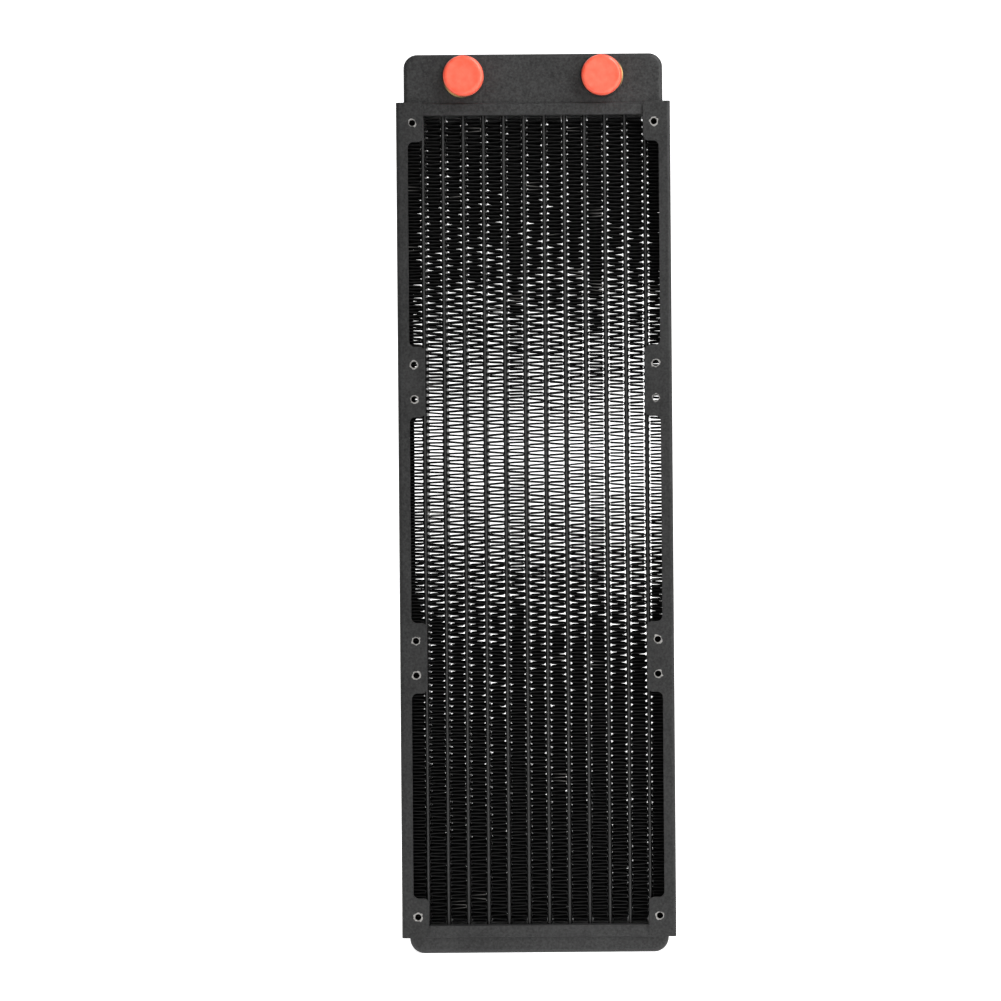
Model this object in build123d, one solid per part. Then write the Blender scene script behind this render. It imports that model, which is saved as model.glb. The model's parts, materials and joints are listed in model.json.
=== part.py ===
from build123d import *
import os

# Liquid cooling radiator for three 120 mm fans, standing on its bottom tank.
# X runs across the width, Y through the thickness (the ports face -Y), Z up along the length.
# All lengths are in millimetres, and Z = 0 is the bottom tank's end face.

# --- overall ---
TOTAL_H = 391.0
WIDTH = 119.2
DEPTH = 30.0
SLIP = 0.02              # gap left between brazed pieces

# --- side plates: folded channels with screw ears ---
PLATE_T = 1.0
PLATE_Z0 = 7.0
PLATE_Z1 = 370.0
LIP_W = 5.1              # narrow part of the front and back lips
EAR_W = 11.8             # lip width at the screw ears
END_EAR_H = 17.2
MID_EAR_H = 30.6
EAR_ROUND = 2.4          # radius at the ears' corners and feet
BEND_R = 1.6             # outside radius where the lips fold
FAN_PITCH = 105.0        # screw spacing of a 120 mm fan
FAN_GAP = 15.0           # from one fan's last screw row to the next fan's first
FIRST_ROW_Z = 16.1
SCREW_R = 1.4            # core radius of the tapped screw holes
SCREW_BOSS_R = 2.1       # metal drawn inwards around each hole
SCREW_BOSS_L = 1.4

# --- core: flat tubes with folded fins between them ---
TUBE_COUNT = 12
TUBE_PITCH = 8.8
TUBE_T = 1.8
TUBE_DEPTH = 18.0
TUBE_WALL = 0.3
TUBE_STICK = 1.0         # tube end standing inside each tank
FIN_T = 0.2
FIN_FOLD = 1.5           # distance from one fin wall to the next
FIN_CREST = 1.0          # flat top of each fold
FIN_END_GAP = 0.3        # between the last fold and the header pan
STRIP_T = 1.0            # support strips outside the last fins
STRIP_LIP = 1.2

# --- header pans that the tubes pass through ---
PAN_T = 1.5
PAN_X = 58.58
PAN_Y = 13.98
PAN_CORNER_R = 0.8
PAN_INNER_Z0 = 12.1      # core side of the bottom pan
PAN_INNER_Z1 = 364.4     # core side of the top pan
PAN_RIM_H = 4.7

# --- tanks ---
TANK_X = 56.35
TANK_Y = 13.0
TANK_WALL = 1.5
TOP_TANK_R = 6.0         # corners of the top tank's outline
BOTTOM_TANK_R = 6.5
TANK_EDGE_R = 2.0        # long edges of the tanks

# --- ports, seals and plugs ---
PORT_X = 30.0
PORT_Z = 381.2
COLLAR_R = 9.3
COLLAR_FACE_Y = -14.6
COLLAR_BODY_R = 7.8
COLLAR_NOSE = 3.0        # length inside the tank's front wall
BORE_R = 6.6             # G1/4 thread, drawn plain
PLUG_SHANK_R = 6.52
PLUG_SHANK_L = 6.6
PLUG_BORE_R = 4.6
PLUG_BORE_L = 5.0
PLUG_HEAD_R = 8.75
PLUG_HEAD_H = 5.0
PLUG_EDGE_R = 1.7
HEAD_GAP = 0.3           # between the head and the collar
SEAL_R = 7.45            # centre line of the ring seal
SEAL_THICK_R = 0.72
SEAL_GROOVE = 1.22

SEAL_ROOM = 0.04         # play between the ring seal and its groove's outer wall
FRONT = Plane.XZ         # sketches on this plane are seen from the front


def export(shape, name):
    export_step(shape, "parts/" + name + ".step")


def block(x0, x1, y0, y1, z0, z1):
    size = (x1 - x0, y1 - y0, z1 - z0)
    centre = ((x0 + x1) / 2, (y0 + y1) / 2, (z0 + z1) / 2)
    return Pos(*centre) * Box(*size)


def rod(x, z, radius, y0, y1):
    """A cylinder along Y."""
    place = Pos(x, (y0 + y1) / 2, z) * Rot(90, 0, 0)
    return place * Cylinder(radius, y1 - y0)


# --- tanks and their fittings ---

def tank_shape(half_x, half_y, z_open, z_end, corner_r, edge_r):
    """A closed-end box, rounded at its far end; z_open is the side that meets the pan."""
    low, high = min(z_open, z_end), max(z_open, z_end)
    body = block(-half_x, half_x, -half_y, half_y, low, high)
    at_end = [e for e in body.edges().filter_by(Axis.Y) if abs(e.center().Z - z_end) < 0.01]
    body = fillet(at_end, corner_r)
    rims = [
        e for e in body.edges()
        if abs(abs(e.center().Y) - half_y) < 0.01 and abs(e.center().Z - z_open) > 0.01
    ]
    return fillet(rims, edge_r)


def hollow_tank(z_open, z_end, corner_r):
    inward = TANK_WALL if z_end < z_open else -TANK_WALL
    outer = tank_shape(TANK_X, TANK_Y, z_open, z_end, corner_r, TANK_EDGE_R)
    inner = tank_shape(
        TANK_X - TANK_WALL,
        TANK_Y - TANK_WALL,
        z_open,
        z_end + inward,
        corner_r - TANK_WALL,
        TANK_EDGE_R - TANK_WALL,
    )
    return outer - inner


def top_tank():
    body = hollow_tank(PAN_INNER_Z1 + PAN_T + SLIP, TOTAL_H, TOP_TANK_R)
    for x in (-PORT_X, PORT_X):
        body -= rod(x, PORT_Z, COLLAR_BODY_R + SLIP, -TANK_Y - 1, -TANK_Y + TANK_WALL + 1)
    return body


def bottom_tank():
    return hollow_tank(PAN_INNER_Z0 - PAN_T - SLIP, 0.0, BOTTOM_TANK_R)


def flow_divider():
    """Wall that sends the coolant down one half of the tubes and up the other."""
    half_y = TANK_Y - TANK_WALL - SLIP
    z0 = PAN_INNER_Z1 + PAN_T + SLIP
    z1 = TOTAL_H - TANK_WALL - SLIP
    wall = block(-0.6, 0.6, -half_y, half_y, z0, z1)
    upper = [e for e in wall.edges().filter_by(Axis.X) if abs(e.center().Z - z1) < 0.01]
    return chamfer(upper, TANK_EDGE_R - TANK_WALL)


def port_collar(x):
    """Brazed-in fitting with a flange outside the tank and a nose inside it."""
    inside_y = -TANK_Y + TANK_WALL + COLLAR_NOSE
    collar = rod(x, PORT_Z, COLLAR_R, COLLAR_FACE_Y, -TANK_Y - SLIP)
    collar += rod(x, PORT_Z, COLLAR_BODY_R, COLLAR_FACE_Y, inside_y)
    collar -= rod(x, PORT_Z, BORE_R, COLLAR_FACE_Y - 1, inside_y + 1)
    mouth = [
        e for e in collar.edges().filter_by(GeomType.CIRCLE)
        if abs(e.center().Y - COLLAR_FACE_Y) < 0.01
    ]
    return chamfer(mouth, 0.4)


def port_plug(x):
    """Screw plug: a round head over a hollow threaded shank."""
    head_y1 = COLLAR_FACE_Y - HEAD_GAP
    head_y0 = head_y1 - PLUG_HEAD_H
    head = rod(x, PORT_Z, PLUG_HEAD_R, head_y0, head_y1)
    crown = [
        e for e in head.edges().filter_by(GeomType.CIRCLE)
        if abs(e.center().Y - head_y0) < 0.01
    ]
    head = fillet(crown, PLUG_EDGE_R)
    groove = rod(x, PORT_Z, SEAL_R + SEAL_THICK_R + SEAL_ROOM, head_y1 - SEAL_GROOVE, head_y1 + 1)
    groove -= rod(x, PORT_Z, PLUG_SHANK_R, head_y1 - SEAL_GROOVE, head_y1 + 1)
    plug = head - groove
    plug += rod(x, PORT_Z, PLUG_SHANK_R, head_y1 - SEAL_GROOVE - 0.5, head_y1 + PLUG_SHANK_L)
    tip_y = head_y1 + PLUG_SHANK_L
    tip = [
        e for e in plug.edges().filter_by(GeomType.CIRCLE)
        if abs(e.center().Y - tip_y) < 0.01
    ]
    plug = chamfer(tip, 0.5)
    return plug - rod(x, PORT_Z, PLUG_BORE_R, tip_y - PLUG_BORE_L, tip_y + 1)


def seal_ring(x):
    centre_y = COLLAR_FACE_Y - SLIP - SEAL_THICK_R
    return Pos(x, centre_y, PORT_Z) * Rot(90, 0, 0) * Torus(SEAL_R, SEAL_THICK_R)


# --- core ---

def tube_positions():
    first = -TUBE_PITCH * (TUBE_COUNT - 1) / 2
    return [first + TUBE_PITCH * i for i in range(TUBE_COUNT)]


def flat_slot(x, thickness, depth, z0, z1):
    """An upright bar with a flat oval section, rounded front and back."""
    section = Rot(0, 0, 90) * SlotOverall(depth, thickness)
    return Pos(x, 0, z0) * extrude(section, z1 - z0)


def flat_tube(x):
    z0 = PAN_INNER_Z0 - PAN_T - TUBE_STICK
    z1 = PAN_INNER_Z1 + PAN_T + TUBE_STICK
    outer = flat_slot(x, TUBE_T, TUBE_DEPTH, z0, z1)
    inner = flat_slot(x, TUBE_T - 2 * TUBE_WALL, TUBE_DEPTH - 2 * TUBE_WALL, z0 - 1, z1 + 1)
    return outer - inner


def header_pan(z_core, outward):
    """Pan with a slotted floor; outward is +1 for the top pan and -1 for the bottom one."""
    floor_z = z_core + outward * PAN_T
    rim_z = z_core + outward * PAN_RIM_H
    pan = block(-PAN_X, PAN_X, -PAN_Y, PAN_Y, min(z_core, rim_z), max(z_core, rim_z))
    pan = fillet(pan.edges().filter_by(Axis.Z), PAN_CORNER_R)
    hole_x = TANK_X + SLIP
    hole_y = TANK_Y + SLIP
    beyond = rim_z + outward
    pan -= block(-hole_x, hole_x, -hole_y, hole_y, min(floor_z, beyond), max(floor_z, beyond))
    low = min(z_core, floor_z) - 1
    high = max(z_core, floor_z) + 1
    for x in tube_positions():
        pan -= flat_slot(x, TUBE_T + 2 * SLIP, TUBE_DEPTH + 2 * SLIP, low, high)
    return pan


def fold_points(x0, x1, z0, z1):
    """Middle line of a folded sheet in front view: to and fro between x0 and x1, rising in z."""
    rise = 2 * FIN_FOLD
    count = int((z1 - z0) / rise)
    start = z0 + (z1 - z0 - count * rise) / 2
    half = FIN_CREST / 2
    points = []
    for i in range(count):
        z = start + i * rise
        points.append((x0, z + half))
        points.append((x1, z + FIN_FOLD - half))
        points.append((x1, z + FIN_FOLD + half))
        points.append((x0, z + rise - half))
    return points


def direction(start, end):
    dx, dy = end[0] - start[0], end[1] - start[1]
    length = (dx * dx + dy * dy) ** 0.5
    return dx / length, dy / length


def shifted(points, distance):
    """The line of points moved sideways, with mitred corners."""
    steps = [direction(a, b) for a, b in zip(points, points[1:])]
    before = steps[:1] + steps
    after = steps + steps[-1:]
    moved = []
    for (x, y), d0, d1 in zip(points, before, after):
        nx, ny = -(d0[1] + d1[1]), d0[0] + d1[0]
        scale = 2 * distance / (nx * nx + ny * ny)
        moved.append((x + nx * scale, y + ny * scale))
    return moved


def fin_strip(x0, x1):
    """A thin sheet folded to and fro between two tubes."""
    half_t = FIN_T / 2
    line = fold_points(
        x0 + half_t, x1 - half_t, PAN_INNER_Z0 + FIN_END_GAP, PAN_INNER_Z1 - FIN_END_GAP
    )
    loop = shifted(line, half_t) + shifted(line, -half_t)[::-1]
    band = make_face(Polyline(*loop, close=True))
    return extrude(FRONT * band, TUBE_DEPTH / 2, both=True)


def fin_spans():
    """Left and right limits of the thirteen spaces beside and between the tubes."""
    half = TUBE_T / 2 + SLIP
    fin_w = TUBE_PITCH - 2 * half
    tubes = tube_positions()
    spans = [(tubes[0] - half - fin_w, tubes[0] - half)]
    spans += [(a + half, b - half) for a, b in zip(tubes, tubes[1:])]
    spans.append((tubes[-1] + half, tubes[-1] + half + fin_w))
    return spans


def support_strip(side):
    """Channel that closes the core outside its last fins."""
    inner_x = fin_spans()[-1][1] + SLIP
    half_y = TUBE_DEPTH / 2
    z0 = PAN_INNER_Z0 + SLIP
    z1 = PAN_INNER_Z1 - SLIP
    outer_x = inner_x + STRIP_T + STRIP_LIP
    strip = block(inner_x, outer_x, -half_y, half_y, z0, z1)
    strip -= block(
        inner_x + STRIP_T, outer_x + 1, -half_y + STRIP_T, half_y - STRIP_T, z0 - 1, z1 + 1
    )
    return strip if side > 0 else mirror(strip, Plane.YZ)


# --- side plates ---

def screw_rows():
    rows = []
    for fan in range(3):
        low = FIRST_ROW_Z + fan * (FAN_PITCH + FAN_GAP)
        rows += [low, low + FAN_PITCH]
    return rows


def lip_outline():
    """Front view of one lip of the right-hand plate, with its four ears."""
    outer = WIDTH / 2
    inner = outer - LIP_W
    tip = outer - EAR_W
    rows = screw_rows()
    ears = [(PLATE_Z0, PLATE_Z0 + END_EAR_H)]
    for low, high in ((rows[1], rows[2]), (rows[3], rows[4])):
        middle = (low + high) / 2
        ears.append((middle - MID_EAR_H / 2, middle + MID_EAR_H / 2))
    ears.append((PLATE_Z1 - END_EAR_H, PLATE_Z1))
    face = Pos((inner + outer) / 2, (PLATE_Z0 + PLATE_Z1) / 2) * Rectangle(
        LIP_W, PLATE_Z1 - PLATE_Z0
    )
    for low, high in ears:
        face += Pos((tip + outer) / 2, (low + high) / 2) * Rectangle(EAR_W, high - low)
    corners = [v for v in face.vertices() if v.X < outer - 0.1]
    return fillet(corners, EAR_ROUND)


def side_plate(side):
    """Channel with a flat web outside and a lip in front and behind."""
    outer = WIDTH / 2
    half = DEPTH / 2
    channel = block(outer - EAR_W, outer, -half, half, PLATE_Z0, PLATE_Z1)
    folds = [
        e for e in channel.edges().filter_by(Axis.Z)
        if abs(e.center().X - outer) < 0.01
    ]
    channel = fillet(folds, BEND_R)
    hollow = block(
        outer - EAR_W - 1, outer - PLATE_T, PLATE_T - half, half - PLATE_T,
        PLATE_Z0 - 1, PLATE_Z1 + 1,
    )
    corners = [
        e for e in hollow.edges().filter_by(Axis.Z)
        if abs(e.center().X - outer + PLATE_T) < 0.01
    ]
    channel -= fillet(corners, BEND_R - PLATE_T)
    channel &= extrude(FRONT * lip_outline(), half + 1, both=True)
    lip_middle = half - PLATE_T / 2
    boss_end = half - PLATE_T - SCREW_BOSS_L
    for z in screw_rows():
        for front in (-1, 1):
            low, high = sorted((front * boss_end, front * lip_middle))
            channel += rod(FAN_PITCH / 2, z, SCREW_BOSS_R, low, high)
            channel -= rod(FAN_PITCH / 2, z, SCREW_R, low - 1, high + 1)
    return channel if side > 0 else mirror(channel, Plane.YZ)


os.makedirs("parts", exist_ok=True)

export(top_tank(), "top_tank")
export(bottom_tank(), "bottom_tank")
export(flow_divider(), "flow_divider")
export(header_pan(PAN_INNER_Z1, 1), "top_header_pan")
export(header_pan(PAN_INNER_Z0, -1), "bottom_header_pan")

for number, tube_x in enumerate(tube_positions(), 1):
    export(flat_tube(tube_x), f"tube_{number:02d}")

for number, (left, right) in enumerate(fin_spans(), 1):
    export(fin_strip(left, right), f"fin_{number:02d}")

for name, side in (("left", -1), ("right", 1)):
    export(support_strip(side), "support_strip_" + name)
    export(side_plate(side), "side_plate_" + name)
    export(port_collar(side * PORT_X), "port_collar_" + name)
    export(port_plug(side * PORT_X), "port_plug_" + name)
    export(seal_ring(side * PORT_X), "seal_ring_" + name)
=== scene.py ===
import json
import math
import random

import bpy
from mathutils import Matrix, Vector, noise


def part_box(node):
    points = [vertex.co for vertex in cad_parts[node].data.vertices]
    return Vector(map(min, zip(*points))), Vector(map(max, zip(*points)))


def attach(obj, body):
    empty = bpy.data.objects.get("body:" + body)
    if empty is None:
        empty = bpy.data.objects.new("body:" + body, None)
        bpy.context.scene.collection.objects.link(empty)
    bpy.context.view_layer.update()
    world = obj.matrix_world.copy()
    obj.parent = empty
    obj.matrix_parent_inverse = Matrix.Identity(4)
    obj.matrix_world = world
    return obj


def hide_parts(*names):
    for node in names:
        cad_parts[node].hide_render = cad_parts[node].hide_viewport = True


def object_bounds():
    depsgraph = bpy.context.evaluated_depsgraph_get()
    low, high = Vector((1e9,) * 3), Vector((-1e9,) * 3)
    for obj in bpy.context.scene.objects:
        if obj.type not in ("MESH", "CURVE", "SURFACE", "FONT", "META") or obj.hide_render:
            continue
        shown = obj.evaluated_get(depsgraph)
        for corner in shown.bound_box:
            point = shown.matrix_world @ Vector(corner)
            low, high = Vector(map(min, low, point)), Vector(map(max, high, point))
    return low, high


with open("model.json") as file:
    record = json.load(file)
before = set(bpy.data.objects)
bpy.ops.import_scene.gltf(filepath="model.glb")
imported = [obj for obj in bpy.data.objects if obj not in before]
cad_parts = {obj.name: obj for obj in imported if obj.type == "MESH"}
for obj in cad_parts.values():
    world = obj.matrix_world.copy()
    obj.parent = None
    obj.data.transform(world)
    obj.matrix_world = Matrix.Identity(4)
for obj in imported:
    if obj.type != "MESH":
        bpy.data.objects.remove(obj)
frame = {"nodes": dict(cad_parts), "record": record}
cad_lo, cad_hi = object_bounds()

RECORD = frame["record"]
NODES = frame["nodes"]
MM = 0.001
TUBE_PITCH = 8.8 * MM
TUBE_COUNT = 12
ABOVE_ZERO = 100         # whole pitches added so that the fraction is taken of a positive number
MOUNTS = {m["name"]: m for m in RECORD["mounts"]}
SIDES = ("left", "right")


# ---------------------------------------------------------------- shader helpers

MIX_A, MIX_B, MIX_RESULT = 6, 7, 2       # the colour sockets of a mix node


def new_material(name):
    mat = bpy.data.materials.new(name)
    mat.use_nodes = True
    tree = mat.node_tree
    return mat, tree, tree.nodes["Principled BSDF"]


def add(tree, kind, **inputs):
    node = tree.nodes.new(kind)
    for key, value in inputs.items():
        node.inputs[key.replace("_", " ")].default_value = value
    return node


def math_node(tree, operation, a, b=None):
    node = tree.nodes.new("ShaderNodeMath")
    node.operation = operation
    for socket, value in zip(node.inputs, (a, b)):
        if value is None:
            continue
        if isinstance(value, (int, float)):
            socket.default_value = value
        else:
            tree.links.new(value, socket)
    return node.outputs[0]


def weighted(tree, a, b, share):
    """A share of a plus the rest of b."""
    part = math_node(tree, "MULTIPLY", a, share)
    return math_node(tree, "ADD", part, math_node(tree, "MULTIPLY", b, 1 - share))


def noise_field(tree, coords, size, detail=3.0):
    """A noise value whose blotches are about size metres across."""
    node = add(tree, "ShaderNodeTexNoise", Scale=1.0 / size, Detail=detail, Roughness=0.55)
    tree.links.new(coords, node.inputs["Vector"])
    return node.outputs["Fac"]


def remap(tree, value, low, high, out_low=0.0, out_high=1.0, smooth=False):
    node = tree.nodes.new("ShaderNodeMapRange")
    node.interpolation_type = "SMOOTHSTEP" if smooth else "LINEAR"
    tree.links.new(value, node.inputs["Value"])
    node.inputs["From Min"].default_value = low
    node.inputs["From Max"].default_value = high
    node.inputs["To Min"].default_value = out_low
    node.inputs["To Max"].default_value = out_high
    return node.outputs["Result"]


def mix_colour(tree, factor, a, b):
    """A colour between a and b; each is three numbers or the output of a node."""
    node = tree.nodes.new("ShaderNodeMix")
    node.data_type = "RGBA"
    tree.links.new(factor, node.inputs["Factor"])
    for key, value in ((MIX_A, a), (MIX_B, b)):
        if isinstance(value, tuple):
            node.inputs[key].default_value = (*value, 1.0)
        else:
            tree.links.new(value, node.inputs[key])
    return node.outputs[MIX_RESULT]


def object_coords(tree):
    return tree.nodes.new("ShaderNodeTexCoord").outputs["Object"]


def split_coords(tree, at):
    node = tree.nodes.new("ShaderNodeSeparateXYZ")
    tree.links.new(at, node.inputs[0])
    return node.outputs


def point_attribute(tree, name):
    node = tree.nodes.new("ShaderNodeAttribute")
    node.attribute_name = name
    return node.outputs["Fac"]


def base_colour(bsdf):
    return bsdf.inputs["Base Color"].links[0].from_socket


def roughen(tree, bsdf, fine, smoothest, dullest):
    """Roughness that follows the fine grain."""
    tree.links.new(remap(tree, fine, 0.3, 0.7, smoothest, dullest), bsdf.inputs["Roughness"])


def bump(tree, bsdf, height, strength, distance):
    node = add(tree, "ShaderNodeBump", Strength=strength, Distance=distance)
    tree.links.new(height, node.inputs["Height"])
    tree.links.new(node.outputs["Normal"], bsdf.inputs["Normal"])


# ---------------------------------------------------------------- materials

def grey(value):
    return (value, value, value)


def powder_coat(name, level, grain=0.9 * MM):
    """Black powder coat: fine orange-peel grain, faint cloudiness and dust."""
    mat, tree, bsdf = new_material(name)
    at = object_coords(tree)
    fine = noise_field(tree, at, grain, detail=2.0)
    cloud = noise_field(tree, at, 20 * MM)
    speck = noise_field(tree, at, grain * 0.55, detail=1.0)
    tone = remap(tree, weighted(tree, fine, cloud, 0.75), 0.3, 0.7)
    colour = mix_colour(tree, tone, grey(level * 0.3), grey(level * 1.7))
    dust = remap(tree, speck, 0.7, 0.8)
    colour = mix_colour(tree, math_node(tree, "MULTIPLY", dust, 0.35), colour, grey(level * 2.6))
    tree.links.new(colour, bsdf.inputs["Base Color"])
    roughen(tree, bsdf, fine, 0.43, 0.6)
    bsdf.inputs["Specular IOR Level"].default_value = 0.3
    bump(tree, bsdf, fine, strength=0.55, distance=0.06 * MM)
    return mat, tree, bsdf


def thin_paint(name, level, roughness):
    """Thin satin black paint over soldered metal, with runs along the height."""
    mat, tree, bsdf = new_material(name)
    at = object_coords(tree)
    fine = noise_field(tree, at, 0.9 * MM)
    streak_map = tree.nodes.new("ShaderNodeMapping")
    streak_map.inputs["Scale"].default_value = (1.0, 1.0, 0.12)
    tree.links.new(at, streak_map.inputs["Vector"])
    streak = noise_field(tree, streak_map.outputs["Vector"], 1.5 * MM, detail=2.0)
    tone = weighted(tree, fine, streak, 0.5)
    colour = mix_colour(tree, remap(tree, tone, 0.35, 0.65), grey(level * 0.6), grey(level * 1.5))
    tree.links.new(colour, bsdf.inputs["Base Color"])
    roughen(tree, bsdf, fine, roughness - 0.08, roughness + 0.12)
    bump(tree, bsdf, fine, strength=0.4, distance=0.04 * MM)
    return mat, tree, bsdf


def tube_paint():
    """Thin black paint with a painted highlight: a lighter grey line along each tube's rounded nose."""
    # Base level far below the tanks' paint: painted shade for the tubes' place deep between the fins.
    mat, tree, bsdf = thin_paint("tube_paint", 0.003, roughness=0.3)
    bsdf.inputs["Specular IOR Level"].default_value = 0.25
    # Painted highlight: a patchy lighter grey line along the nose of each tube, one per tube pitch.
    at = object_coords(tree)
    pitches = math_node(tree, "DIVIDE", split_coords(tree, at)["X"], TUBE_PITCH)
    within = math_node(tree, "FRACT", math_node(tree, "ADD", pitches, ABOVE_ZERO))
    across = math_node(tree, "ABSOLUTE", math_node(tree, "SUBTRACT", within, 0.5))
    nose = remap(tree, across, 0.05 * MM / TUBE_PITCH, 0.5 * MM / TUBE_PITCH, 1.0, 0.0, smooth=True)
    patchy = remap(tree, noise_field(tree, at, 2.5 * MM), 0.3, 0.7, 0.6, 1.0)
    nose_highlight_colour = mix_colour(tree, math_node(tree, "MULTIPLY", nose, patchy), base_colour(bsdf), grey(0.042))
    tree.links.new(nose_highlight_colour, bsdf.inputs["Base Color"])
    return mat


def fin_paint():
    """Satin black on the folded fins, lighter where the mesh says so: paint rubbed to bare metal at
    dents, also a painted glint.
    """
    mat, tree, bsdf = thin_paint("fin_paint", 0.012, roughness=0.75)
    bsdf.inputs["Specular IOR Level"].default_value = 0.12
    colour = mix_colour(tree, point_attribute(tree, "worn_and_glint"), base_colour(bsdf), (0.62, 0.60, 0.57))
    tree.links.new(colour, bsdf.inputs["Base Color"])
    return mat


def plate_paint(holes):
    """Powder coat that is chipped to bare metal round each screw hole."""
    mat, tree, bsdf = powder_coat("plate_paint", 0.019)
    at = object_coords(tree)
    along = split_coords(tree, at)
    across = math_node(tree, "ABSOLUTE", along["X"])
    nearest = None
    for x, z in holes:
        dx = math_node(tree, "SUBTRACT", across, x)
        dz = math_node(tree, "SUBTRACT", along["Z"], z)
        square = math_node(tree, "MULTIPLY", dx, dx)
        square = math_node(tree, "ADD", square, math_node(tree, "MULTIPLY", dz, dz))
        nearest = square if nearest is None else math_node(tree, "MINIMUM", nearest, square)
    distance = math_node(tree, "SQRT", nearest)
    reach = remap(tree, noise_field(tree, at, 1.6 * MM), 0.3, 0.7, 1.45 * MM, 2.4 * MM)
    inside = math_node(tree, "SUBTRACT", reach, distance)
    chipped = remap(tree, inside, -0.12 * MM, 0.22 * MM, smooth=True)
    metal = mix_colour(tree, noise_field(tree, at, 0.6 * MM), (0.16, 0.155, 0.15), (0.52, 0.51, 0.49))
    tree.links.new(mix_colour(tree, chipped, base_colour(bsdf), metal), bsdf.inputs["Base Color"])
    tree.links.new(math_node(tree, "MULTIPLY", chipped, 0.7), bsdf.inputs["Metallic"])
    return mat


def plug_plastic():
    """Satin moulded plastic, red-orange and slightly translucent."""
    mat, tree, bsdf = new_material("plug_plastic")
    at = object_coords(tree)
    cloud = noise_field(tree, at, 4 * MM, detail=4.0)
    fine = noise_field(tree, at, 0.6 * MM, detail=2.0)
    colour = mix_colour(tree, remap(tree, cloud, 0.35, 0.65), (0.93, 0.10, 0.048), (0.98, 0.145, 0.085))
    tree.links.new(colour, bsdf.inputs["Base Color"])
    roughen(tree, bsdf, fine, 0.30, 0.42)
    bsdf.inputs["Subsurface Weight"].default_value = 0.25
    bsdf.inputs["Subsurface Radius"].default_value = (2.0 * MM, 0.6 * MM, 0.3 * MM)
    bsdf.inputs["Subsurface Scale"].default_value = 1.0
    bump(tree, bsdf, fine, strength=0.25, distance=0.04 * MM)
    return mat


def collar_finish():
    """Black paint outside; bare brass in the thread, and a brass-coloured crescent on the face that is a
    painted highlight.
    """
    mat, tree, bsdf = powder_coat("collar_brass", 0.010, grain=0.5 * MM)
    # Mask of the real bare brass in the thread and of the painted highlight crescent on the face.
    bare_and_highlight = point_attribute(tree, "bare_and_highlight")
    at = object_coords(tree)
    brass = mix_colour(tree, noise_field(tree, at, 0.8 * MM), (0.55, 0.36, 0.13), (0.78, 0.56, 0.24))
    tree.links.new(mix_colour(tree, bare_and_highlight, base_colour(bsdf), brass), bsdf.inputs["Base Color"])
    tree.links.new(math_node(tree, "MULTIPLY", bare_and_highlight, 0.45), bsdf.inputs["Metallic"])
    return mat


def seal_rubber():
    mat, tree, bsdf = new_material("seal_rubber")
    at = object_coords(tree)
    fine = noise_field(tree, at, 0.4 * MM, detail=2.0)
    colour = mix_colour(tree, fine, grey(0.012), grey(0.035))
    tree.links.new(colour, bsdf.inputs["Base Color"])
    roughen(tree, bsdf, fine, 0.55, 0.75)
    bump(tree, bsdf, fine, strength=0.3, distance=0.03 * MM)
    return mat


def screw_holes():
    """(distance from the middle, height) of every screw hole row, from the record's fan mounts."""
    holes = set()
    for mount in RECORD["mounts"]:
        if mount["kind"] == "bolt_pattern":
            half_x = mount["dims"]["spacing_x_mm"] * MM / 2
            half_z = mount["dims"]["spacing_y_mm"] * MM / 2
            for sign in (-1, 1):
                holes.add((round(half_x, 6), round(mount["pos_m"][2] + sign * half_z, 6)))
    return sorted(holes)


TANK = powder_coat("tank_paint", 0.025)[0]
PLATE = plate_paint(screw_holes())
TUBE = tube_paint()
FIN = fin_paint()
PLUG = plug_plastic()
COLLAR = collar_finish()
SEAL = seal_rubber()


def dress(node, material):
    obj = NODES[node]
    obj.data.materials.clear()
    obj.data.materials.append(material)


# ---------------------------------------------------------------- mesh helpers

SHARP_ANGLE = math.radians(40)


def make_object(name, verts, faces, material):
    mesh = bpy.data.meshes.new(name)
    mesh.from_pydata(verts, [], faces)
    mesh.validate()
    mesh.shade_smooth()
    mesh.materials.append(material)
    obj = bpy.data.objects.new(name, mesh)
    bpy.context.scene.collection.objects.link(obj)
    return obj


def set_attribute(obj, name, values):
    layer = obj.data.attributes.new(name, "FLOAT", "POINT")
    layer.data.foreach_set("value", values)


def sharpen(obj):
    """Hard shading only where faces meet at more than SHARP_ANGLE."""
    obj.data.set_sharp_from_angle(angle=SHARP_ANGLE)


def place(obj, body, slot, *nodes):
    """Puts a piece on its body and in the place of the named CAD nodes, which it hides; the slot
    argument is not used.
    """
    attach(obj, body)
    if nodes:
        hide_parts(*nodes)


# ---------------------------------------------------------------- fins

FOLD = 1.455 * MM        # usual distance between fin walls
SHEET = 0.24 * MM        # painted sheet thickness
CREST = 0.64 * MM        # half height of a fold's rounded crest
CREST_SHAPE = ((0.34, -1.0), (0.10, -0.84), (0.0, -0.45), (0.0, 0.45), (0.10, 0.84), (0.34, 1.0))
STUB = 0.55 * MM         # plain part of each wall beside the tubes
SLAT_CHORD = 1.4 * MM    # louvre slats cut into the rest of the wall
SLAT_GAP = 0.10 * MM
SLAT_T = 0.12 * MM
SLAT_TILT = (30, 38)     # degrees
END_REACH = 0.22 * MM    # last folds nearly touch the header pans
LEAD_EDGE = 1.0 * MM     # plain part of each wall at the front and at the back
LEAD_ROW = 0.97          # row near the edge, as a share of half the depth
BAND_ROWS = (-1.0, -0.93, -0.78, 0.0, 0.78, 0.93, 1.0)
WAVE = 0.14 * MM         # waviness of the sheet
DRIFT = 0.32             # slow and quick unevenness of the folds, as shares of their pitch
JITTER = 0.16
DENT_FROM = 0.84         # dents begin at this share of half the depth
DENT_RUB_AND_GLINT = 0.22          # paint rubbed off at the middle of a dent, also a painted glint
FIN_COUNT = TUBE_COUNT + 1
FIN_SEED = 400


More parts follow.
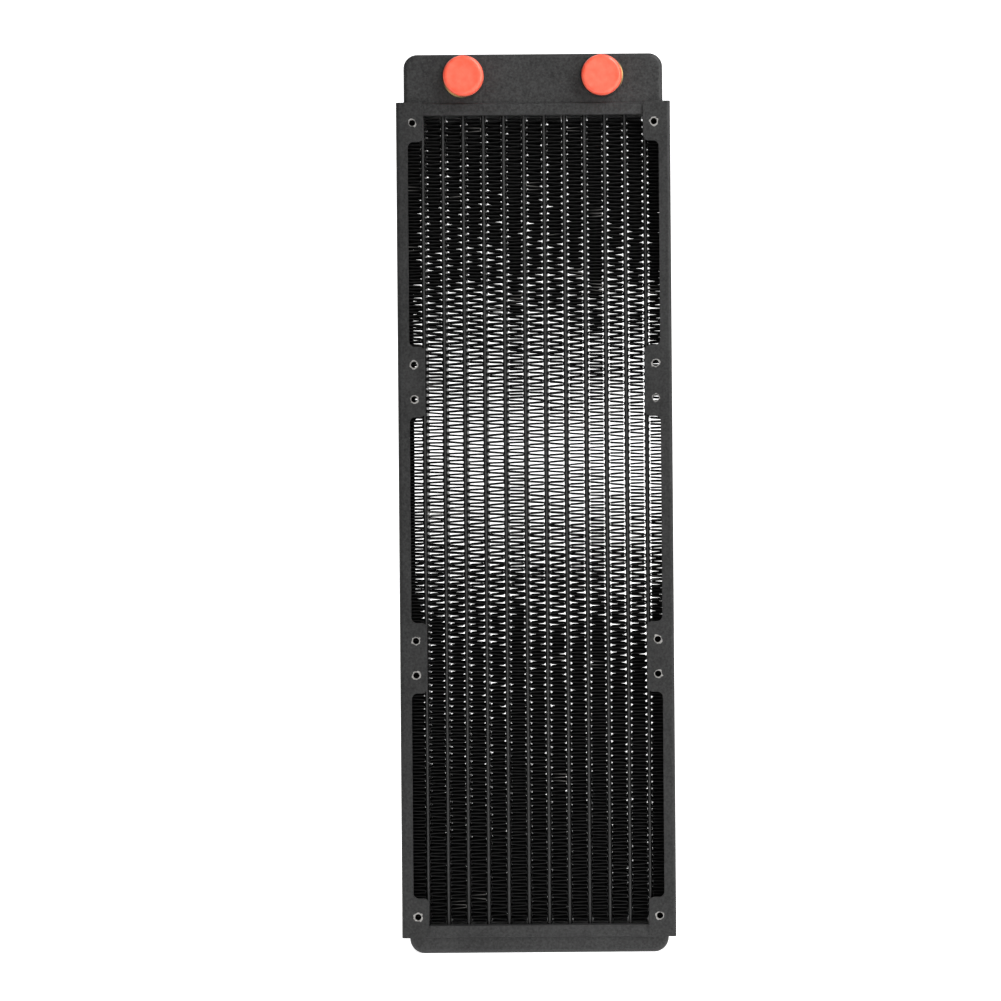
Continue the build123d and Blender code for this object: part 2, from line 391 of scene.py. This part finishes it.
class Fin:
    """One folded and louvred strip between x0 and x1."""

    def __init__(self, index):
        node = f"fin_{index:02d}"
        self.rng = random.Random(FIN_SEED + index)
        lo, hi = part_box(node)
        self.x0, self.x1 = lo.x + SHEET / 2, hi.x - SHEET / 2
        self.z0, self.z1 = lo.z - END_REACH, hi.z + END_REACH
        self.half = (hi.y - lo.y) / 2
        self.verts, self.faces, self.worn_and_glint = [], [], []
        self.dents = self.make_dents()
        turns = self.make_turns()
        self.add_bands(turns)
        self.add_slats(turns)
        obj = make_object(f"fin_sheet_{index:02d}", self.verts, self.faces, FIN)
        set_attribute(obj, "worn_and_glint", self.worn_and_glint)
        sharpen(obj)
        place(obj, "radiator", "fin_paint", node)

    def make_dents(self):
        """Spots where handling has bent the fins' front or back edges."""
        dents = []
        for _ in range(self.rng.randint(5, 9)):
            upper = self.rng.random() < 0.6
            z = self.rng.uniform(0.55, 0.99) if upper else self.rng.uniform(0.02, 0.6)
            dents.append((
                self.rng.uniform(self.x0, self.x1),
                self.z0 + z * (self.z1 - self.z0),
                self.rng.uniform(1.2, 3.4) * MM,
                self.rng.choice((-1, 1)) * self.rng.uniform(0.35, 0.8) * MM,
                self.rng.choice((-1, -1, 1)),
            ))
        return dents

    def vertex(self, x, y, z):
        """Adds a point, moved by the sheet's waviness and by nearby dents."""
        mid, width = (self.x0 + self.x1) / 2, self.x1 - self.x0
        free = max(0.0, 1.0 - (abs(x - mid) / (width * 0.5)) ** 4)
        wave = noise.noise(Vector((x * 150.0, y * 90.0, z * 420.0)))
        shift = wave * WAVE * (0.2 + 0.8 * free)
        rub_and_glint = 0.0
        for dx, dz, radius, size, face in self.dents:
            depth = face * y / self.half
            if depth < DENT_FROM:
                continue
            near = math.exp(-((x - dx) ** 2 + (z - dz) ** 2) / radius ** 2)
            shift += size * near * free * (depth - DENT_FROM) / (1 - DENT_FROM)
            # Rubbed bare metal, light in colour; it also stands in for a painted glint.
            if near > 0.5 and depth > 0.97:
                rub_and_glint = max(rub_and_glint, DENT_RUB_AND_GLINT * near)
        self.verts.append((x, y, z + shift))
        self.worn_and_glint.append(rub_and_glint)

    def make_turns(self):
        """The rounded folds from bottom to top, each a list of points in front view."""
        usual = FOLD * self.rng.uniform(0.955, 1.045)
        room = self.z1 - self.z0 - 2 * CREST - SHEET
        count = int(room / usual)
        pitch = room / count
        turns = []
        at_right = self.rng.random() < 0.5
        for k in range(count + 1):
            push = noise.noise(Vector((k * 0.11, self.x0 * 900.0, 3.0))) * DRIFT
            push += noise.noise(Vector((k * 0.9, self.x0 * 700.0, 9.0))) * JITTER
            if k in (0, count):
                push = 0.0
            z = self.z0 + SHEET / 2 + CREST + (k + push) * pitch
            x, inward = (self.x1, -1) if at_right else (self.x0, 1)
            tall = CREST * self.rng.uniform(0.8, 1.0)
            turns.append([(x + inward * dx * MM, z + dz * tall) for dx, dz in CREST_SHAPE])
            at_right = not at_right
        return turns

    def stub_end(self, start, end):
        """The point of a wall where its louvres begin, seen from the fold at start."""
        reach = (STUB - CREST_SHAPE[0][0] * MM) / abs(end[0] - start[0])
        return tuple(a + (b - a) * reach for a, b in zip(start, end))

    def add_bands(self, turns):
        """Every fold with its stubs; the first and the last fold end in a flat leaf along the pan."""
        rows = [r * self.half for r in BAND_ROWS]
        for k, turn in enumerate(turns):
            opposite = self.x0 + self.x1 - turn[0][0]
            before, after = (opposite, turn[0][1]), (opposite, turn[-1][1])
            if k > 0:
                before = self.stub_end(turn[0], turns[k - 1][-1])
            if k < len(turns) - 1:
                after = self.stub_end(turn[-1], turns[k + 1][0])
            self.add_band([before, *turn, after], rows)

    def add_band(self, line, rows):
        """A closed strip of sheet: the line thickened and run through the rows in depth."""
        base = len(self.verts)
        last = len(line) - 1
        sides = []
        for distance in (SHEET / 2, -SHEET / 2):
            moved = []
            for i, (x, z) in enumerate(line):
                ax, az = line[max(i - 1, 0)]
                bx, bz = line[min(i + 1, last)]
                length = math.hypot(bx - ax, bz - az)
                moved.append((x - (bz - az) / length * distance, z + (bx - ax) / length * distance))
            sides.append(moved)
        loop = sides[0] + sides[1][::-1]
        n = len(loop)
        for y in rows:
            for x, z in loop:
                self.vertex(x, y, z)
        for r in range(len(rows) - 1):
            for i in range(n):
                a, b = base + r * n + i, base + r * n + (i + 1) % n
                self.faces.append((a, a + n, b + n, b))
        for start, flip in ((base, False), (base + (len(rows) - 1) * n, True)):
            for i in range(last):
                quad = (start + i, start + i + 1, start + n - 2 - i, start + n - 1 - i)
                self.faces.append(quad[::-1] if flip else quad)

    def add_slats(self, turns):
        """Louvres in every wall: plain edges front and back, tilted slats between them."""
        inside = self.half - LEAD_EDGE
        count = int(2 * inside / (SLAT_CHORD + SLAT_GAP))
        step = 2 * inside / count
        for lower, upper in zip(turns, turns[1:]):
            left = self.stub_end(lower[-1], upper[0])
            right = self.stub_end(upper[0], lower[-1])
            if left[0] > right[0]:
                left, right = right, left
            self.add_band([left, right], [-self.half, -self.half * LEAD_ROW, -inside])
            self.add_band([left, right], [inside, self.half * LEAD_ROW, self.half])
            tilt = math.radians(self.rng.uniform(*SLAT_TILT))
            for i in range(count):
                y = -inside + (i + 0.5) * step
                angle = tilt * (1 if y < 0 else -1)
                self.add_slat(left, right, y, angle)

    def add_slat(self, left, right, y, angle):
        """One slat: a thin tilted board from the left stub to the right one."""
        along_y, along_z = math.cos(angle) * SLAT_CHORD / 2, math.sin(angle) * SLAT_CHORD / 2
        off_y, off_z = -math.sin(angle) * SLAT_T / 2, math.cos(angle) * SLAT_T / 2
        base = len(self.verts)
        for x, z in (left, right):
            for a, b in ((-1, -1), (1, -1), (1, 1), (-1, 1)):
                self.vertex(x, y + a * along_y + b * off_y, z + a * along_z + b * off_z)
        for quad in ((0, 3, 2, 1), (4, 5, 6, 7), (0, 1, 5, 4), (1, 2, 6, 5), (2, 3, 7, 6), (3, 0, 4, 7)):
            self.faces.append(tuple(base + i for i in quad))


for index in range(1, FIN_COUNT + 1):
    Fin(index)


# ---------------------------------------------------------------- ports: collars and plugs

AROUND = 96              # points in each ring
THREAD_PITCH = 1.337 * MM
THREAD_DEPTH = 0.5 * MM
THREAD_ROWS = 44
THREAD_FADE = 4          # rows over which a thread runs out at each end
BORE_R = 6.6 * MM        # the collar's thread starts here and is cut outwards
SHANK_R = 6.52 * MM      # the plug's thread starts here and is cut inwards
HEAD_R = 8.75 * MM
HEAD_EDGE = 1.7 * MM     # radius of the head's rounded edge
HEAD_H = 5.0 * MM
FLANGE_EDGE = 0.35 * MM  # radius of the collar's rounded edge
FLANGE_T = 1.58 * MM

# (radius, y) in millimetres; y runs from the head's face, or from the shank's tip
HEAD_DISH = ((0.4, 0.16), (5.0, 0.15), (6.1, 0.12), (6.6, 0.03))
HEAD_SIDE = ((8.72, 3.9), (8.5, 4.02), (8.5, 4.18), (8.75, 4.3), (8.75, 4.9), (8.65, 5.0))
SEAL_GROOVE = ((8.21, 5.0), (8.21, 3.78), (6.52, 3.78))
SHANK_TIP = ((6.2, -0.1), (6.0, 0.0), (4.75, 0.0), (4.6, -0.15), (4.6, -4.9), (0.4, -5.0))

# Painted highlight: where the brass-coloured crescent sits on each collar's face, and how wide it is.
HIGHLIGHT_AT = {"left": math.radians(215), "right": math.radians(80)}   # clockwise, from the front
HIGHLIGHT_WIDTH = 0.42


class Turned:
    """A turned piece round a port's axis, built from rings of points."""

    def __init__(self, centre):
        self.centre = centre
        self.verts, self.faces, self.bare_and_highlight = [], [], []
        self.rings = 0

    def ring(self, radius, y, thread=0.0, bare_and_highlight=0.0):
        for k in range(AROUND):
            turn = k / AROUND
            wave = abs((y / THREAD_PITCH + turn) % 1.0 - 0.5) * 2
            depth = thread * min(1.0, max(0.0, wave * 1.3 - 0.15))      # flat crests and roots
            angle = 2 * math.pi * turn
            across, up = math.sin(angle) * (radius + depth), math.cos(angle) * (radius + depth)
            self.verts.append((self.centre.x + across, y, self.centre.z + up))
            self.bare_and_highlight.append(bare_and_highlight)
        self.rings += 1

    def profile(self, points, start):
        """Rings at (radius, y) points in millimetres, with y measured from start."""
        for radius, y in points:
            self.ring(radius * MM, start + y * MM)

    def rounded_edge(self, radius, y, size, steps):
        """Rings round a quarter turn, from facing along the axis to facing outwards."""
        for i in range(steps + 1):
            a = math.pi / 2 * i / steps
            self.ring(radius + size * math.sin(a), y - size * math.cos(a))

    def thread(self, radius, start, end, depth, bare_and_highlight=0.0):
        for i in range(THREAD_ROWS + 1):
            fade = min(1.0, i / THREAD_FADE, (THREAD_ROWS - i) / THREAD_FADE)
            self.ring(radius, start + (end - start) * i / THREAD_ROWS, depth * fade, bare_and_highlight)

    def skin(self, closed):
        """Faces between neighbouring rings; a closed piece also joins the last to the first."""
        last = self.rings if closed else self.rings - 1
        for r in range(last):
            a0, b0 = r * AROUND, (r + 1) % self.rings * AROUND
            for k in range(AROUND):
                n = (k + 1) % AROUND
                self.faces.append((a0 + k, a0 + n, b0 + n, b0 + k))

    def cap(self, ring, flip):
        """Closes the hole left by a ring with a fan of triangles."""
        base = ring * AROUND
        self.verts.append((self.centre.x, self.verts[base][1], self.centre.z))
        self.bare_and_highlight.append(0.0)
        middle = len(self.verts) - 1
        for k in range(AROUND):
            tri = (middle, base + k, base + (k + 1) % AROUND)
            self.faces.append(tri[::-1] if flip else tri)


def port_centre(side):
    return Vector(MOUNTS[f"port_{side}"]["pos_m"])


def build_plug(side):
    """Moulded screw plug: dished head with a base lip, seal groove, threaded hollow shank."""
    lo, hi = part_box(f"port_plug_{side}")
    piece = Turned(port_centre(side))
    piece.profile(HEAD_DISH, lo.y)
    piece.rounded_edge(HEAD_R - HEAD_EDGE, lo.y + HEAD_EDGE, HEAD_EDGE, steps=8)
    piece.profile(HEAD_SIDE + SEAL_GROOVE, lo.y)
    piece.thread(SHANK_R, lo.y + HEAD_H + 0.3 * MM, hi.y - 0.6 * MM, -THREAD_DEPTH)
    piece.profile(SHANK_TIP, hi.y)
    piece.skin(closed=False)
    piece.cap(0, flip=True)
    piece.cap(piece.rings - 1, flip=False)
    obj = make_object(f"screw_plug_{side}", piece.verts, piece.faces, PLUG)
    sharpen(obj)
    place(obj, f"plug_{side}", "plug_plastic", f"port_plug_{side}")


def build_collar(side):
    """Brazed-in fitting: rounded flange, plain nose, thread cut into the bore."""
    lo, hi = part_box(f"port_collar_{side}")
    centre = port_centre(side)
    flange = (hi.x - lo.x) / 2
    piece = Turned(centre)
    piece.ring(7.05 * MM, lo.y, bare_and_highlight=1.0)
    piece.ring(7.2 * MM, lo.y, bare_and_highlight=0.8)
    piece.ring(8.7 * MM, lo.y)
    piece.rounded_edge(flange - FLANGE_EDGE, lo.y + FLANGE_EDGE, FLANGE_EDGE, steps=4)
    piece.profile(((flange / MM, 0.0), (7.8, 0.0)), lo.y + FLANGE_T)
    piece.profile(((7.8, -0.2), (7.6, 0.0), (6.8, 0.0)), hi.y)
    piece.thread(BORE_R, hi.y - 0.25 * MM, lo.y + 0.5 * MM, THREAD_DEPTH, bare_and_highlight=1.0)
    piece.skin(closed=True)
    # Painted highlight: a brass-coloured crescent on the flange face, at one angle on each side.
    for k, (x, y, z) in enumerate(piece.verts):
        dx, dz = x - centre.x, z - centre.z
        if y < lo.y + 0.6 * MM and math.hypot(dx, dz) > 7.3 * MM:
            away = (math.atan2(dx, dz) - HIGHLIGHT_AT[side] + math.pi) % (2 * math.pi) - math.pi
            piece.bare_and_highlight[k] = max(piece.bare_and_highlight[k], 0.85 * math.exp(-(away / HIGHLIGHT_WIDTH) ** 2))
    obj = make_object(f"threaded_collar_{side}", piece.verts, piece.faces, COLLAR)
    set_attribute(obj, "bare_and_highlight", piece.bare_and_highlight)
    sharpen(obj)
    place(obj, "radiator", "collar_brass", f"port_collar_{side}")


for side in SIDES:
    build_plug(side)
    build_collar(side)


# ---------------------------------------------------------------- seams between tanks and header pans

BEAD_R = 0.56 * MM
BEAD_CORNER = 3.0 * MM
BEAD_STEP = 0.8 * MM
BEAD_AROUND = 8
CORNER_STEPS = 6


def bead_path(half_x, half_y):
    """Points a step apart round a rectangle with rounded corners."""
    corners = []
    for quarter, (cx, cy) in enumerate(((1, 1), (-1, 1), (-1, -1), (1, -1))):
        for i in range(CORNER_STEPS + 1):
            a = math.pi / 2 * (quarter + i / CORNER_STEPS)
            x = cx * (half_x - BEAD_CORNER) + BEAD_CORNER * math.cos(a)
            y = cy * (half_y - BEAD_CORNER) + BEAD_CORNER * math.sin(a)
            corners.append(Vector((x, y)))
    path = []
    for a, b in zip(corners, corners[1:] + corners[:1]):
        pieces = max(1, int((b - a).length / BEAD_STEP))
        path += [a.lerp(b, i / pieces) for i in range(pieces)]
    return path


def build_seam(name, pan, rim_z, seed):
    """An uneven bead of solder along the edge of a header pan, where its tank stands."""
    pan_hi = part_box(pan)[1]
    path = bead_path(pan_hi.x - 0.75 * MM, pan_hi.y - 0.62 * MM)
    verts, faces = [], []
    for k, (x, y) in enumerate(path):
        along = (path[(k + 1) % len(path)] - path[k - 1]).normalized()
        out = Vector((along.y, -along.x, 0.0))
        wobble = noise.noise(Vector((x * 260.0, y * 260.0, seed)))
        wobble += 0.5 * noise.noise(Vector((x * 900.0, y * 900.0, seed)))
        radius = BEAD_R + 0.16 * MM * wobble
        for i in range(BEAD_AROUND):
            a = 2 * math.pi * i / BEAD_AROUND
            point = Vector((x, y, rim_z)) + out * radius * math.cos(a)
            verts.append((point.x, point.y, point.z + radius * math.sin(a)))
    for k in range(len(path)):
        a, b = k * BEAD_AROUND, (k + 1) % len(path) * BEAD_AROUND
        for i in range(BEAD_AROUND):
            j = (i + 1) % BEAD_AROUND
            faces.append((a + i, b + i, b + j, a + j))
    seam = make_object(name, verts, faces, TANK)
    place(seam, "radiator", "tank_paint")


build_seam("seam_top", "top_header_pan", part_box("top_header_pan")[1].z - 0.1 * MM, seed=4.0)
build_seam("seam_bottom", "bottom_header_pan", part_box("bottom_header_pan")[0].z + 0.1 * MM, seed=8.0)


# ---------------------------------------------------------------- carried-over CAD nodes

for node in ("top_tank", "bottom_tank", "flow_divider", "top_header_pan", "bottom_header_pan"):
    dress(node, TANK)
for index in range(1, TUBE_COUNT + 1):
    dress(f"tube_{index:02d}", TUBE)
for side in SIDES:
    dress(f"support_strip_{side}", TUBE)
    dress(f"side_plate_{side}", PLATE)
    dress(f"seal_ring_{side}", SEAL)


# ---------------------------------------------------------------- stage, light and camera

FLOOR_NEAR, FLOOR_FAR = -3.5, 2.6        # the floor's front edge, and where it starts to curve up
SWEEP_R, SWEEP_STEPS = 1.2, 12
BACKDROP_H, STAGE_HALF = 5.0, 6.0


def floor_paint():
    """Matte near-white that glows behind the object and less in front of it, least at the left."""
    mat, tree, bsdf = new_material("pale_floor")
    at = object_coords(tree)
    colour = mix_colour(tree, noise_field(tree, at, 0.3), grey(0.93), grey(0.96))
    tree.links.new(colour, bsdf.inputs["Base Color"])
    bsdf.inputs["Roughness"].default_value = 0.9
    bsdf.inputs["Specular IOR Level"].default_value = 0.0
    bsdf.inputs["Emission Color"].default_value = (1, 1, 1, 1)
    along = split_coords(tree, at)
    back = remap(tree, along["Y"], -0.5, -0.1, smooth=True)
    front = math_node(tree, "SUBTRACT", 1.0, back)
    dim = remap(tree, along["X"], -0.5, 0.5, 0.15, 0.6, smooth=True)
    behind = math_node(tree, "MULTIPLY", back, 0.9)
    glow = math_node(tree, "ADD", behind, math_node(tree, "MULTIPLY", front, dim))
    tree.links.new(glow, bsdf.inputs["Emission Strength"])
    return mat


def build_stage():
    """A pale floor that curves up into a backdrop."""
    profile = [(FLOOR_NEAR, 0.0)]
    for k in range(SWEEP_STEPS + 1):
        a = math.pi / 2 * k / SWEEP_STEPS
        profile.append((FLOOR_FAR + SWEEP_R * math.sin(a), SWEEP_R - SWEEP_R * math.cos(a)))
    profile.append((FLOOR_FAR + SWEEP_R, BACKDROP_H))
    verts, faces = [], []
    for y, z in profile:
        verts += [(-STAGE_HALF, y, z), (STAGE_HALF, y, z)]
    for i in range(len(profile) - 1):
        a = 2 * i
        faces.append((a, a + 1, a + 3, a + 2))
    stage = make_object("stage_floor", verts, faces, floor_paint())


# name, place, aim, size (metres) and power (watts)
LIGHTS = (
    ("key_light", (0.42, -0.42, 0.95), (0, 0, 0.2), (0.45, 0.45), 6.5),
    ("side_light", (0.55, -0.35, 0.5), (0, 0, 0.3), (0.5, 0.5), 2.6),
    ("fill_light", (0.12, -1.9, 0.62), (0, 0, 0.2), (0.2, 0.5), 2.2),
    ("back_light", (0.0, 1.4, 2.6), (0, 2.6, 0.6), (3.0, 1.5), 12),
)


def area_light(name, location, target, size, power):
    data = bpy.data.lights.new(name, "AREA")
    data.shape = "RECTANGLE"
    data.size, data.size_y = size
    data.energy = power
    lamp = bpy.data.objects.new(name, data)
    lamp.location = location
    lamp.rotation_mode = "QUATERNION"
    lamp.rotation_quaternion = (Vector(target) - Vector(location)).to_track_quat("-Z", "Y")
    bpy.context.scene.collection.objects.link(lamp)


def light_scene():
    world = bpy.data.worlds.new("studio")
    bpy.context.scene.world = world
    world.use_nodes = True
    sky = world.node_tree.nodes["Background"]
    sky.inputs["Color"].default_value = (1, 1, 1, 1)
    sky.inputs["Strength"].default_value = 0.2
    for light in LIGHTS:
        area_light(*light)


CAMERA_AWAY = 1.636      # metres in front of the plugs' faces
CAMERA_X = 0.0568
CAMERA_Z = 0.2181
LENS = 135.9
LEAN = math.radians(0.45)
SHIFT = (-0.1656, -0.0502)      # the camera stands right of and above the object's middle


def build_camera():
    data = bpy.data.cameras.new("camera")
    data.lens = LENS
    data.sensor_width = 36.0
    data.shift_x, data.shift_y = SHIFT
    data.clip_start, data.clip_end = 0.05, 50
    camera = bpy.data.objects.new("camera", data)
    camera.location = (CAMERA_X, cad_lo.y - CAMERA_AWAY, CAMERA_Z)
    camera.rotation_euler = (math.pi / 2, LEAN, 0.0)
    bpy.context.scene.collection.objects.link(camera)
    bpy.context.scene.camera = camera


build_stage()
light_scene()
build_camera()
bpy.context.scene.view_settings.view_transform = "Standard"
